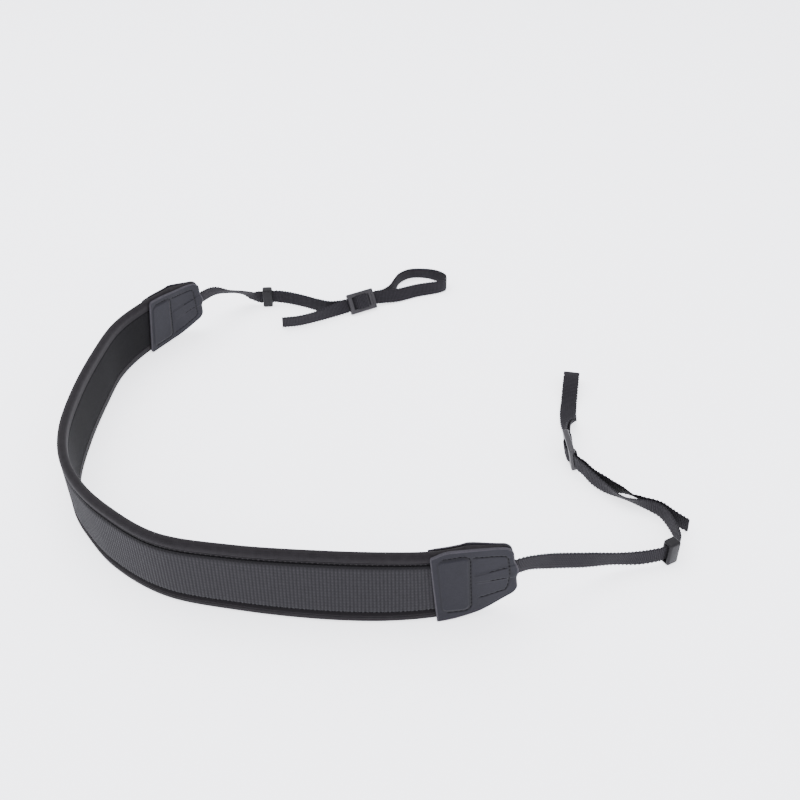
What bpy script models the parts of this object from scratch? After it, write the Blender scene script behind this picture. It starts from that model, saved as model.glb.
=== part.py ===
# A padded camera neck strap, lying on edge on a table as one open loop.
#
# The strap is a long foam pad with a ribbed panel outside and a smooth panel inside. A pair of
# leather leaves closes each end of the pad and holds a length of narrow webbing, which runs
# through a keeper and a three-bar buckle, round an open lug loop and back to a free tail.
#
# Routes and sizes are in millimetres. x runs to the right, y away from the near side and z up
# from the table. PLAN_CENTRE is the middle of the plan, which becomes the origin.

import math
from collections import namedtuple

import bpy
import bmesh
import numpy as np
from mathutils import Vector

MM = 0.001
PLAN_CENTRE = (1.038, -0.11)
CLEARANCE = 0.3

PAD_WIDTH = 45.0
PAD_THICKNESS = 5.4
PAD_EDGE_ROUND = 2.6
PANEL_WIDTH = 31.0
PANEL_THICKNESS = 1.0
PANEL_RECESS = 1.5

LEAF_LENGTH = 44.0
LEAF_THICKNESS = 1.3
LEAF_PAD_WIDTH = 46.2
LEAF_WEBBING_WIDTH = 33.0
LEAF_CORNER = 4.5
LEAF_OVERLAP = 20.0
LEAF_RAMP = 20.0
LEAF_RINGS = 14
PAD_START = LEAF_LENGTH - LEAF_OVERLAP

WEBBING_WIDTH = 11.0
WEBBING_THICKNESS = 1.1
STRIP_CORNER = 0.3

# Where the webbing is double, the main layer runs on the left-hand side and the tail on the right.
LAYER_PITCH = 1.5
MAIN_LAYER = -1
TAIL_LAYER = 1

KEEPER_HEIGHT = 15.2
KEEPER_LENGTH = 7.5
KEEPER_DEPTH = 6.6
KEEPER_SLOT_HEIGHT = 12.0
KEEPER_SLOT_DEPTH = 3.0
KEEPER_ROUND = 1.0
KEEPER_LEAD = 2.0

BUCKLE_LENGTH = 22.5
BUCKLE_HEIGHT = 16.0
BUCKLE_THICKNESS = 3.7
BUCKLE_SLOT_HEIGHT = 12.0
BUCKLE_SLOT_LENGTH = 5.0
BUCKLE_CENTRE_BAR = 6.1
BUCKLE_BAR_RECESS = 1.5
BUCKLE_ROUND = 1.0
WEAVE_RADIUS = 2.0
WEAVE_ANGLE = 50.0
WEAVE_LEAD = 1.5
WEAVE_ARC_KNOTS = 5

# A swept section is repeated at least every STEP, or after TURN degrees of bending and twisting.
STEP = 6.0
TURN = 12.5
LEAST_STEP = 0.3

# One row for each place that a band passes. x and y are the middle of the band's section, rise
# is its lowest edge above the table, lean is how far the width tips from upright in degrees, and
# toward is the compass angle that the upper edge tips to, with 0 along x and 90 along y.
Row = namedtuple("Row", "x y rise lean toward")

# The pad and both leaf pairs, from the right webbing's end round to the left webbing's end.
PAD_ROUTE = [
    Row(78.3, -172.2, 6.8, 2, -80),
    Row(60.0, -175.6, 4.0, 1, -83),
    Row(38.0, -178.6, 0.8, 1, 92),
    Row(10.0, -179.8, 0.0, 4, 90),
    Row(-22.0, -178.4, 0.0, 4, 86),
    Row(-64.0, -173.4, 0.0, 1, 78),
    Row(-104.0, -164.1, 0.0, 1, -114),
    Row(-134.6, -143.6, 0.0, 0, 0),
    Row(-153.0, -124.3, 0.0, 2, -137),
    Row(-167.6, -102.0, 0.0, 1, -150),
    Row(-176.3, -75.0, 0.0, 0, 0),
    Row(-179.6, -36.0, 0.0, 1, 0),
    Row(-178.6, 4.0, 0.2, 3, -8),
    Row(-175.0, 37.0, 0.6, 6, -15),
    Row(-166.0, 60.5, 1.0, 9, -30),
    Row(-148.2, 85.8, 2.4, 12, -43),
    Row(-128.5, 101.8, 5.7, 12, -52),
]

# The right webbing between its leaves and its buckle, with the keeper halfway.
RIGHT_LEAD = [
    Row(88.0, -166.2, 20.9, 5, -90),
    Row(102.0, -159.0, 14.8, 2, 95),
    Row(118.0, -153.5, 9.6, 2, 100),
    Row(136.0, -147.5, 4.5, 8, -80),
    Row(152.0, -144.0, 1.9, 0, 0),
]
RIGHT_BEND = [
    Row(174.8, -133.0, 1.9, 0, 0),
    Row(175.7, -127.0, 1.2, 0, 0),
    Row(175.4, -119.5, 0.4, 0, 0),
    Row(173.9, -111.0, 0.0, 0, 0),
    Row(171.2, -104.9, 0.0, 6, -112),
    Row(166.9, -101.0, 0.0, 12, -112),
    Row(161.9, -98.1, 0.0, 24, -108),
    Row(157.5, -95.7, 0.0, 36, -106),
    Row(153.6, -93.2, 0.0, 44, -105),
    Row(149.4, -90.3, 0.0, 40, -106),
    Row(145.2, -86.9, 0.0, 26, -110),
    Row(141.0, -82.9, 0.2, 13, -118),
    Row(136.2, -77.0, 0.9, 4, -135),
    Row(131.6, -69.8, 1.9, 9, -170),
]
RIGHT_TWIST = [
    Row(127.8, -30.0, 2.6, 8, 0),
    Row(129.6, -21.4, 1.6, 50, -8),
    Row(131.1, -12.4, 0.9, 82, -10),
    Row(132.2, -4.0, 0.75, 90, -11),
]

# The right lug loop lies on its side: out along the top, round a bight and back underneath. run
# is the distance beyond the twist and lift the height above the lower run.
Bight = namedtuple("Bight", "run lift")
FLAT_LOOP_HEADING = 79.0
FLAT_LOOP = [
    Bight(5.0, LAYER_PITCH),
    Bight(14.0, 3.2),
    Bight(24.0, 7.0),
    Bight(32.0, 8.6),
    Bight(38.0, 7.4),
    Bight(40.4, 5.4),
    Bight(40.4, 3.2),
    Bight(38.2, 1.1),
    Bight(33.0, 0.0),
    Bight(20.0, 0.0),
    Bight(5.0, 0.0),
]
RIGHT_TAIL = [
    Row(133.2, -68.8, 2.2, 9, -170),
    Row(137.0, -74.8, 1.2, 3, -130),
    Row(142.2, -79.4, 0.8, 7, -118),
    Row(146.6, -82.8, 0.2, 13, -110),
    Row(150.8, -85.4, 0.0, 22, -107),
    Row(155.0, -87.4, 0.0, 38, -105),
    Row(159.4, -90.8, 0.0, 48, -105),
    Row(163.7, -96.0, 0.0, 28, -106),
    Row(168.2, -99.8, 0.0, 10, -112),
    Row(172.2, -103.1, 0.0, 2, -115),
    Row(175.5, -107.6, 0.0, 0, 0),
    Row(179.2, -112.0, 0.0, 3, -100),
    Row(184.2, -117.0, 0.0, 8, -100),
]

# The left webbing between its leaves and its buckle.
LEFT_LEAD = [
    Row(-121.0, 114.8, 20.8, 28, -76),
    Row(-112.0, 124.2, 16.9, 52, -77),
    Row(-104.5, 132.6, 12.0, 53, -78),
    Row(-99.2, 137.2, 7.6, 44, -79),
    Row(-95.0, 139.2, 3.5, 22, -82),
]
LEFT_BEND = [
    Row(-70.0, 141.2, 0.6, 6, 95),
    Row(-58.0, 137.6, 0.0, 7, 110),
    Row(-45.5, 131.2, 0.0, 8, 115),
    Row(-33.0, 125.6, 0.7, 12, 118),
]
LEFT_LOOP = [
    Row(8.0, 144.4, 1.2, 33, 121),
    Row(13.2, 152.2, 0.4, 20, 140),
    Row(16.0, 163.2, 0.0, 6, 165),
    Row(19.8, 173.4, 0.0, 6, -90),
    Row(28.5, 181.0, 0.0, 13, -90),
    Row(41.5, 181.2, 0.0, 12, -90),
    Row(51.5, 176.5, 0.0, 0, 0),
    Row(56.6, 171.0, 0.0, 0, 0),
    Row(57.2, 168.0, 0.0, 0, 0),
    Row(57.2, 165.0, 0.0, 0, 0),
    Row(56.4, 162.0, 0.0, 0, 0),
    Row(51.0, 158.6, 0.0, 8, 118),
    Row(33.0, 153.2, 0.0, 24, 115),
    Row(17.3, 145.0, 0.6, 31, 118),
]
LEFT_TAIL = [
    Row(-30.5, 120.8, 0.7, 10, 118),
    Row(-44.2, 112.8, 0.0, 8, -75),
    Row(-56.2, 106.9, 0.0, 11, -78),
    Row(-69.2, 104.3, 0.0, 13, -80),
]

# Where each keeper and buckle stands, and the compass angle of the webbing through it. The
# webbing crosses a buckle's middle bar on its right-hand side (1) or its left-hand side (-1).
# lean is how far a buckle tips from upright to its left-hand side, in degrees.
Seat = namedtuple("Seat", "x y heading crossing lean", defaults=(0.0,))
RIGHT_KEEPER = Seat(168.2, -138.6, 30.0, 1)
LEFT_KEEPER = Seat(-84.0, 139.8, 5.0, 1)
RIGHT_BUCKLE = Seat(125.8, -51.8, 93.0, -1, 12.0)
LEFT_BUCKLE = Seat(-9.9, 132.0, 31.0, 1, 34.0)

COLOURS = {
    "foam": (0.045, 0.045, 0.048, 0.9),
    "ribbed cloth": (0.068, 0.068, 0.072, 0.85),
    "lining cloth": (0.040, 0.040, 0.043, 0.9),
    "leather": (0.060, 0.060, 0.066, 0.6),
    "webbing": (0.042, 0.042, 0.045, 0.85),
    "plastic": (0.052, 0.053, 0.056, 0.45),
}


def clear_scene():
    for thing in list(bpy.data.objects):
        bpy.data.objects.remove(thing, do_unlink=True)


def material(name):
    found = bpy.data.materials.get(name)
    if found:
        return found
    made = bpy.data.materials.new(name)
    made.use_nodes = True
    red, green, blue, roughness = COLOURS[name]
    shader = made.node_tree.nodes["Principled BSDF"]
    shader.inputs["Base Color"].default_value = (red, green, blue, 1.0)
    shader.inputs["Roughness"].default_value = roughness
    return made


def unit(vectors):
    return vectors / np.linalg.norm(vectors, axis=-1, keepdims=True)


def across_direction(row):
    lean, toward = math.radians(row.lean), math.radians(row.toward)
    flat = math.sin(lean)
    return (flat * math.cos(toward), flat * math.sin(toward), math.cos(lean))


def knots(rows, width, thickness):
    # The middle of each row's section and the direction of its width, as six columns.
    found = []
    for row in rows:
        across = across_direction(row)
        upright = abs(across[2])
        height = row.rise + upright * width / 2 + math.sqrt(1 - upright**2) * thickness / 2
        found.append((row.x, row.y, height) + across)
    return np.array(found)


def smooth(points, fineness=24):
    # A centripetal Catmull-Rom curve through the knots: it never swings past a close pair.
    ends = (2 * points[0] - points[1], 2 * points[-1] - points[-2])
    p = np.vstack([ends[0], points, ends[1]])
    gaps = np.sqrt(np.maximum(np.linalg.norm(np.diff(p[:, :3], axis=0), axis=1), 1e-6))
    t = np.concatenate([[0], np.cumsum(gaps)])
    curve = []
    for i in range(1, len(p) - 2):
        for u in np.linspace(t[i], t[i + 1], fineness, endpoint=False):
            a = [(t[j + 1] - u) / (t[j + 1] - t[j]) * p[j] + (u - t[j]) / (t[j + 1] - t[j]) * p[j + 1]
                 for j in (i - 1, i, i + 1)]
            b = [(t[j + 2] - u) / (t[j + 2] - t[j]) * a[k] + (u - t[j]) / (t[j + 2] - t[j]) * a[k + 1]
                 for k, j in enumerate((i - 1, i))]
            curve.append((t[i + 1] - u) / (t[i + 1] - t[i]) * b[0] + (u - t[i]) / (t[i + 1] - t[i]) * b[1])
    curve.append(p[-2])
    return np.array(curve)


class Band:
    # A smooth route that sections of one width and thickness are swept along.

    def __init__(self, points, width, thickness):
        curve = smooth(points)
        self.centre = curve[:, :3]
        steps = np.linalg.norm(np.diff(self.centre, axis=0), axis=1)
        self.distance = np.concatenate([[0], np.cumsum(steps)])
        self.length = self.distance[-1]
        self.along = unit(np.gradient(self.centre, axis=0))
        across = curve[:, 3:]
        lengthwise = np.sum(across * self.along, axis=1, keepdims=True)
        self.across = unit(across - lengthwise * self.along)
        self.normal = np.cross(self.along, self.across)
        upright, flat = np.abs(self.across[:, 2]), np.abs(self.normal[:, 2])
        lowest = self.centre[:, 2] - upright * width / 2 - flat * thickness / 2
        self.centre[:, 2] -= np.minimum(lowest, 0.0)

    def stops(self, start, end, step=STEP, turn=TURN):
        # Distances along the route, close together where it bends or twists.
        inside = np.where((self.distance > start) & (self.distance < end))[0]
        found = [start]
        bend = 0.0
        for i in inside:
            cosines = [np.dot(frame[i], frame[i - 1]) for frame in (self.along, self.across)]
            bend += sum(math.degrees(math.acos(min(1.0, c))) for c in cosines)
            if bend >= turn or self.distance[i] - found[-1] >= step:
                found.append(self.distance[i])
                bend = 0.0
        if end - found[-1] < LEAST_STEP and len(found) > 1:
            found.pop()
        return found + [end]

    def at(self, distance, aside=0.0, up=0.0):
        # The point beside the route, up its width and out along its normal.
        def read(table):
            return np.array([np.interp(distance, self.distance, table[:, k]) for k in range(3)])
        across, normal = unit(read(self.across)), unit(read(self.normal))
        return read(self.centre) + up * across + aside * normal

    def knot(self, distance):
        across = [np.interp(distance, self.distance, self.across[:, k]) for k in range(3)]
        return np.concatenate([self.at(distance), across])


def mesh_object(name, bm, finish, smooth_angle=40.0):
    bmesh.ops.recalc_face_normals(bm, faces=bm.faces)
    mesh = bpy.data.meshes.new(name)
    bm.to_mesh(mesh)
    bm.free()
    made = bpy.data.objects.new(name, mesh)
    bpy.context.collection.objects.link(made)
    made.data.materials.append(material(finish))
    mesh.shade_smooth()
    mesh.set_sharp_from_angle(angle=math.radians(smooth_angle))
    return made


def sweep(name, band, stops, section_at, finish):
    # Rings of the section at each stop, joined side to side and capped at both ends.
    bm = bmesh.new()
    rings = []
    for distance in stops:
        points = [band.at(distance, aside, up) for up, aside in section_at(distance)]
        rings.append([bm.verts.new(Vector(point) * MM) for point in points])
    for near, far in zip(rings, rings[1:]):
        for k in range(len(near)):
            bm.faces.new((near[k - 1], near[k], far[k], far[k - 1]))
    bm.faces.new(rings[0])
    bm.faces.new(rings[-1])
    return mesh_object(name, bm, finish)


def pad_section(_distance):
    # Round borders at full thickness, with a shallow recess between them on each face.
    half, crown = PAD_WIDTH / 2, PAD_THICKNESS / 2
    floor = crown - PANEL_RECESS
    shoulder = PANEL_WIDTH / 2 + CLEARANCE
    rim = [(half - PAD_EDGE_ROUND + PAD_EDGE_ROUND * math.cos(angle), crown * math.sin(angle))
           for angle in np.radians(np.linspace(90, -90, 7))]
    groove = [(shoulder, floor), (shoulder + PANEL_RECESS, crown)]
    side = groove + rim + [(up, -aside) for up, aside in reversed(groove)]
    return side + [(-up, -aside) for up, aside in side]


def strip_section(width, thickness, aside=0.0):
    half, skin = width / 2, thickness / 2
    corner = min(STRIP_CORNER, skin / 2)
    side = [(half - corner, skin), (half, skin - corner),
            (half, corner - skin), (half - corner, -skin)]
    return [(up, aside + out) for up, out in side + [(-up, -out) for up, out in side]]


def panel(name, band, side, finish):
    aside = side * (PAD_THICKNESS / 2 - PANEL_RECESS + CLEARANCE + PANEL_THICKNESS / 2)
    return sweep(name, band, band.stops(PAD_START, band.length - PAD_START),
                 lambda _distance: strip_section(PANEL_WIDTH, PANEL_THICKNESS, aside), finish)


def ease(value):
    value = min(1.0, max(0.0, value))
    return value * value * (3 - 2 * value)


def leaf(name, band, side, at_far_end):
    # A leaf hugs the pad's end, closes onto the webbing and narrows in a curve with round corners.
    over_pad = PAD_THICKNESS / 2 + CLEARANCE + LEAF_THICKNESS / 2
    over_webbing = WEBBING_THICKNESS / 2 + CLEARANCE + LEAF_THICKNESS / 2

    def section(distance):
        reach = band.length - distance if at_far_end else distance
        opened = ease((reach - PAD_START + LEAF_RAMP + CLEARANCE) / LEAF_RAMP)
        aside = side * (over_webbing + (over_pad - over_webbing) * opened)
        narrowing = max(0.0, 1 - reach / (LEAF_LENGTH - LEAF_CORNER)) ** 2
        width = LEAF_PAD_WIDTH - (LEAF_PAD_WIDTH - LEAF_WEBBING_WIDTH) * narrowing
        short = max(0.0, LEAF_CORNER - reach)
        width -= 2 * (LEAF_CORNER - math.sqrt(max(0.0, LEAF_CORNER**2 - short**2)))
        return strip_section(width, LEAF_THICKNESS, aside)

    corner = [LEAF_CORNER * (1 - math.sin(math.radians(angle))) for angle in (90, 60, 30, 8)]
    reaches = corner + list(np.linspace(LEAF_CORNER + 2, LEAF_LENGTH, LEAF_RINGS))
    stops = [band.length - reach if at_far_end else reach for reach in reaches]
    return sweep(name, band, stops, section, "leather")


def seat_height(seat, height, thickness):
    # The middle of a piece that stands on its lower long edge, upright or leaning.
    lean = math.radians(seat.lean)
    return height / 2 * math.cos(lean) + thickness / 2 * math.sin(lean)


def weave(seat, layer):
    # Knots for one layer through a buckle: in behind the first end bar, over the middle bar, out
    # behind the last. Offsets go by the local normal, so that both layers keep their pitch.
    angle = math.radians(WEAVE_ANGLE)
    slot = (BUCKLE_CENTRE_BAR + BUCKLE_SLOT_LENGTH) / 2
    depth = BUCKLE_THICKNESS / 2 - BUCKLE_BAR_RECESS + CLEARANCE + WEBBING_THICKNESS / 2
    depth += LAYER_PITCH / 2
    ramp = (2 * depth - 2 * WEAVE_RADIUS * (1 - math.cos(angle))) / math.sin(angle)
    half_run = WEAVE_RADIUS * math.sin(angle) + ramp * math.cos(angle) / 2
    path = [(-BUCKLE_LENGTH / 2 - WEAVE_LEAD, -depth, 0.0)]
    for turned in np.linspace(0, 1, WEAVE_ARC_KNOTS):
        bend = angle * turned
        path.append((-slot - half_run + WEAVE_RADIUS * math.sin(bend),
                     -depth + WEAVE_RADIUS * (1 - math.cos(bend)), bend))
    for turned in np.linspace(1, 0, WEAVE_ARC_KNOTS):
        bend = angle * turned
        path.append((-slot + half_run - WEAVE_RADIUS * math.sin(bend),
                     depth - WEAVE_RADIUS * (1 - math.cos(bend)), bend))
    path.append((0.0, depth, 0.0))
    path += [(-u, n, -bend) for u, n, bend in reversed(path[:-1])]
    heading, lean = math.radians(seat.heading), math.radians(seat.lean)
    along = np.array([math.cos(heading), math.sin(heading), 0.0])
    left = np.array([-along[1], along[0], 0.0])
    across = left * math.sin(lean) + np.array([0.0, 0.0, math.cos(lean)])
    right = np.cross(along, across)
    centre = np.array([seat.x, seat.y, seat_height(seat, BUCKLE_HEIGHT, BUCKLE_THICKNESS)])
    found = []
    for u, n, bend in path:
        n, bend = n * seat.crossing, bend * seat.crossing
        u -= layer * LAYER_PITCH / 2 * math.sin(bend)
        n += layer * LAYER_PITCH / 2 * math.cos(bend)
        found.append(np.concatenate([centre + u * along + n * right, across]))
    return np.array(found)


def keeper_knots(seat):
    heading = math.radians(seat.heading)
    inside, outside = KEEPER_LENGTH / 2, KEEPER_LENGTH / 2 + KEEPER_LEAD
    return np.array([(seat.x + u * math.cos(heading), seat.y + u * math.sin(heading),
                      KEEPER_HEIGHT / 2, 0.0, 0.0, 1.0) for u in (-outside, -inside, inside, outside)])


def sewn_end(band, at_far_end):
    # The stretch of webbing that is sewn between the leaves, from the pad's end to their tips.
    reaches = np.linspace(PAD_START - CLEARANCE, LEAF_THICKNESS / 2, 4)
    distances = [band.length - reach if at_far_end else reach for reach in reaches]
    return np.array([band.knot(distance) for distance in distances])


def flat_loop():
    heading = math.radians(FLAT_LOOP_HEADING)
    along_x, along_y = math.cos(heading), math.sin(heading)
    start = RIGHT_TWIST[-1]
    return np.array([(start.x + place.run * along_x, start.y + place.run * along_y,
                      place.lift + WEBBING_THICKNESS / 2, along_y, -along_x, 0.0)
                     for place in FLAT_LOOP])


def webbing_knots(rows):
    return knots(rows, WEBBING_WIDTH, WEBBING_THICKNESS)


def offset_knots(points, aside):
    # The same route moved sideways by its own normal.
    band = Band(points, WEBBING_WIDTH, WEBBING_THICKNESS)
    places = [band.distance[np.argmin(np.linalg.norm(band.centre - p[:3], axis=1))] for p in points]
    return np.array([np.concatenate([band.at(d, aside), p[3:]]) for d, p in zip(places, points)])


def right_webbing(pad):
    shared = webbing_knots(RIGHT_TWIST)
    out = weave(RIGHT_BUCKLE, MAIN_LAYER)
    back = weave(RIGHT_BUCKLE, TAIL_LAYER)[::-1]
    centre = np.vstack([weave(RIGHT_BUCKLE, 0)[-2:], shared, flat_loop()[:1]])
    outward = offset_knots(centre, MAIN_LAYER * LAYER_PITCH / 2)[2:-1]
    inward = offset_knots(centre, TAIL_LAYER * LAYER_PITCH / 2)[2:-1][::-1]
    return np.vstack([sewn_end(pad, False), webbing_knots(RIGHT_LEAD), keeper_knots(RIGHT_KEEPER),
                      webbing_knots(RIGHT_BEND), out, outward, flat_loop(), inward, back,
                      webbing_knots(RIGHT_TAIL)])


def left_webbing(pad):
    return np.vstack([sewn_end(pad, True), webbing_knots(LEFT_LEAD), keeper_knots(LEFT_KEEPER),
                      webbing_knots(LEFT_BEND), weave(LEFT_BUCKLE, MAIN_LAYER),
                      webbing_knots(LEFT_LOOP), weave(LEFT_BUCKLE, TAIL_LAYER)[::-1],
                      webbing_knots(LEFT_TAIL)])


def webbing(name, points):
    band = Band(points, WEBBING_WIDTH, WEBBING_THICKNESS)
    return sweep(name, band, band.stops(0.0, band.length),
                 lambda _distance: strip_section(WEBBING_WIDTH, WEBBING_THICKNESS), "webbing")


def block(size, centre, rounding=0.0, segments=2):
    # A box in a seat's own directions: x along the webbing, y to its left-hand side, z up.
    bm = bmesh.new()
    bmesh.ops.create_cube(bm, size=1.0)
    bmesh.ops.scale(bm, vec=Vector(size) * MM, verts=bm.verts)
    bmesh.ops.translate(bm, vec=Vector(centre) * MM, verts=bm.verts)
    if rounding:
        bmesh.ops.bevel(bm, geom=bm.edges, offset=rounding * MM, segments=segments,
                        profile=0.5, affect="EDGES")
    return bm


def cut(body, cutters):
    for number, bm in enumerate(cutters):
        cutter = mesh_object(f"{body.name}_cutter_{number}", bm, "plastic")
        cutter.hide_render = True
        cutter.display_type = "WIRE"
        cutter.parent = body
        boolean = body.modifiers.new(f"cut {number}", "BOOLEAN")
        boolean.operation = "DIFFERENCE"
        boolean.solver = "EXACT"
        boolean.object = cutter


def seated(made, seat, height):
    made.location = Vector((seat.x, seat.y, height)) * MM
    made.rotation_euler = (-math.radians(seat.lean), 0.0, math.radians(seat.heading))
    return made


def keeper(name, seat):
    # A short rectangular tube. Its slot has room for the tail beside the webbing.
    aside = -(KEEPER_SLOT_DEPTH - WEBBING_THICKNESS) / 2 + CLEARANCE
    body = mesh_object(name, block((KEEPER_LENGTH, KEEPER_DEPTH, KEEPER_HEIGHT), (0, aside, 0),
                                   KEEPER_ROUND), "plastic")
    slot = (KEEPER_LENGTH * 2, KEEPER_SLOT_DEPTH, KEEPER_SLOT_HEIGHT)
    cut(body, [block(slot, (0, aside, 0))])
    return seated(body, seat, seat_height(seat, KEEPER_HEIGHT, KEEPER_DEPTH))


def buckle(name, seat):
    # Two slots leave three bars. The end bars are set toward the crossing side and the middle bar
    # away from it, so that the webbing snakes through without a sharp fold.
    body = mesh_object(name, block((BUCKLE_LENGTH, BUCKLE_THICKNESS, BUCKLE_HEIGHT), (0, 0, 0),
                                   BUCKLE_ROUND), "plastic")
    slot_middle = (BUCKLE_CENTRE_BAR + BUCKLE_SLOT_LENGTH) / 2
    end_bar = (BUCKLE_LENGTH - BUCKLE_CENTRE_BAR) / 2 - BUCKLE_SLOT_LENGTH
    front = -seat.crossing
    away = front * (BUCKLE_THICKNESS - BUCKLE_BAR_RECESS)
    through = BUCKLE_THICKNESS * 2
    cutters = [block((BUCKLE_SLOT_LENGTH, through, BUCKLE_SLOT_HEIGHT), (side * slot_middle, 0, 0))
               for side in (-1, 1)]
    cutters.append(block((BUCKLE_LENGTH - 2 * end_bar - BUCKLE_SLOT_LENGTH, BUCKLE_THICKNESS,
                          BUCKLE_SLOT_HEIGHT), (0, away, 0)))
    for side in (-1, 1):
        cutters.append(block((end_bar + BUCKLE_SLOT_LENGTH, BUCKLE_THICKNESS, BUCKLE_SLOT_HEIGHT),
                             (side * (BUCKLE_LENGTH - end_bar) / 2, -away, 0)))
    cut(body, cutters)
    return seated(body, seat, seat_height(seat, BUCKLE_HEIGHT, BUCKLE_THICKNESS))


def main():
    clear_scene()
    pad = Band(knots(PAD_ROUTE, PAD_WIDTH, PAD_THICKNESS), PAD_WIDTH, PAD_THICKNESS)
    sweep("neck_pad", pad, pad.stops(PAD_START, pad.length - PAD_START), pad_section, "foam")
    panel("outer_panel", pad, -1, "ribbed cloth")
    panel("inner_panel", pad, 1, "lining cloth")
    for end, at_far_end in (("right", False), ("left", True)):
        leaf(f"{end}_outer_leaf", pad, -1, at_far_end)
        leaf(f"{end}_inner_leaf", pad, 1, at_far_end)
    webbing("right_webbing", right_webbing(pad))
    webbing("left_webbing", left_webbing(pad))
    keeper("right_keeper", RIGHT_KEEPER)
    keeper("left_keeper", LEFT_KEEPER)
    buckle("right_buckle", RIGHT_BUCKLE)
    buckle("left_buckle", LEFT_BUCKLE)
    for thing in bpy.data.objects:
        if thing.parent is None:
            thing.location -= Vector((*PLAN_CENTRE, 0.0)) * MM


main()
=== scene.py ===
import math

import bpy
import numpy as np
from mathutils import Matrix, Vector


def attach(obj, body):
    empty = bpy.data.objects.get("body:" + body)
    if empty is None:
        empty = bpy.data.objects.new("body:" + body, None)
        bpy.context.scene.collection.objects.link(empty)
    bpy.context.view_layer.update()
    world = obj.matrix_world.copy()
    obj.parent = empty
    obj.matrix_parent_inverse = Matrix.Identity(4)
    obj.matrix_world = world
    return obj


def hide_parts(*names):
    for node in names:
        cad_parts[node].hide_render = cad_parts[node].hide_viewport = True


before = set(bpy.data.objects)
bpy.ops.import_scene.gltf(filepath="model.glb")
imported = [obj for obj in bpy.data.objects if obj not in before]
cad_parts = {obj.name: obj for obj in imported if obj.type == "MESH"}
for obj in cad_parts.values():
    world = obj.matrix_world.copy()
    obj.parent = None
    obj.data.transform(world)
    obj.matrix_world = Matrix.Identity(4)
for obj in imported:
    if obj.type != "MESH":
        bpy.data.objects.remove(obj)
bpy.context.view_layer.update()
print("frame loaded:", len(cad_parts), "solids")


# ---- camera, light and floor

cameraSettings = {
    "place": (0.018962, -0.51189, 0.3817),
    "lookDown": 36.07,  # degrees below level
    "lens": 42.75,
    "sensor": 36.0,
}
lightSettings = {
    "sky": "#f6f7ff",
    "skyStrength": 1.8,
    "overhead": {"place": (-0.35, 0.25, 1.5), "size": 1.6, "power": 26.0},
    "front": {"place": (0.5, -1.1, 0.9), "size": 1.1, "power": 6.0},
}
floorSettings = {"size": 8.0, "colour": "#fbfbff", "glow": 1.9, "roughness": 0.95, "specular": 0.1}


def linearColour(hexText):
    # sRGB hex to the linear values that the shaders use
    found = []
    for start in (1, 3, 5):
        value = int(hexText[start:start + 2], 16) / 255
        found.append(value / 12.92 if value <= 0.04045 else ((value + 0.055) / 1.055) ** 2.4)
    return (*found, 1.0)


def makeActive(piece):
    bpy.ops.object.select_all(action="DESELECT")
    piece.select_set(True)
    bpy.context.view_layer.objects.active = piece


def addNode(tree, kind, settings, output=0):
    # a setting is a property of the node, or an input socket by name or number, which takes a
    # value or another node's output; one output comes back
    node = tree.nodes.new("ShaderNode" + kind)
    for name, value in settings.items():
        if isinstance(value, bpy.types.NodeSocket):
            tree.links.new(value, node.inputs[name])
        elif isinstance(name, int) or name in node.inputs:
            node.inputs[name].default_value = value
        else:
            setattr(node, name, value)
    return node.outputs[output]


def applyModifier(piece, kind, settings):
    modifier = piece.modifiers.new(kind.lower(), kind)
    for name, value in settings.items():
        setattr(modifier, name, value)
    makeActive(piece)
    bpy.ops.object.modifier_apply(modifier=modifier.name)


def newMaterial(name, settings):
    made = bpy.data.materials.new(name)
    made.use_nodes = True
    for socket, value in settings.items():
        made.node_tree.nodes["Principled BSDF"].inputs[socket].default_value = value
    return made, made.node_tree


def makeCamera():
    bpy.ops.object.camera_add(location=cameraSettings["place"],
                              rotation=(math.radians(90 - cameraSettings["lookDown"]), 0, 0))
    camera = bpy.context.object
    camera.data.lens = cameraSettings["lens"]
    camera.data.sensor_width = cameraSettings["sensor"]
    bpy.context.scene.camera = camera


def makeLights():
    world = bpy.data.worlds.new("studioSky")
    bpy.context.scene.world = world
    world.use_nodes = True
    sky = world.node_tree.nodes["Background"]
    sky.inputs["Color"].default_value = linearColour(lightSettings["sky"])
    sky.inputs["Strength"].default_value = lightSettings["skyStrength"]
    for name in ("overhead", "front"):
        facts = lightSettings[name]
        towards = Vector((0, 0, 0)) - Vector(facts["place"])
        bpy.ops.object.light_add(type="AREA", location=facts["place"],
                                 rotation=towards.to_track_quat("-Z", "Y").to_euler())
        light = bpy.context.object
        light.name = name + "Softbox"
        light.data.size = facts["size"]
        light.data.energy = facts["power"]


def makeFloor():
    bpy.ops.mesh.primitive_plane_add(size=floorSettings["size"])
    floor = bpy.context.object
    floor.name = "studioFloor"
    # lit acrylic sweep: matt and nearly white, and its own glow keeps the shadows faint
    colour = linearColour(floorSettings["colour"])
    acrylic = newMaterial("litAcrylic", {
        "Base Color": colour, "Roughness": floorSettings["roughness"],
        "Specular IOR Level": floorSettings["specular"],
        "Emission Color": colour, "Emission Strength": floorSettings["glow"]})[0]
    floor.data.materials.append(acrylic)


makeCamera()
makeLights()
makeFloor()
print("camera, light and floor ready")


# ---- the route of each band, in millimetres
# a row is x, y, rise (lowest edge above the table), lean from upright, compass angle it leans to

planCentre = (1.038, -0.11)

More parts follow.
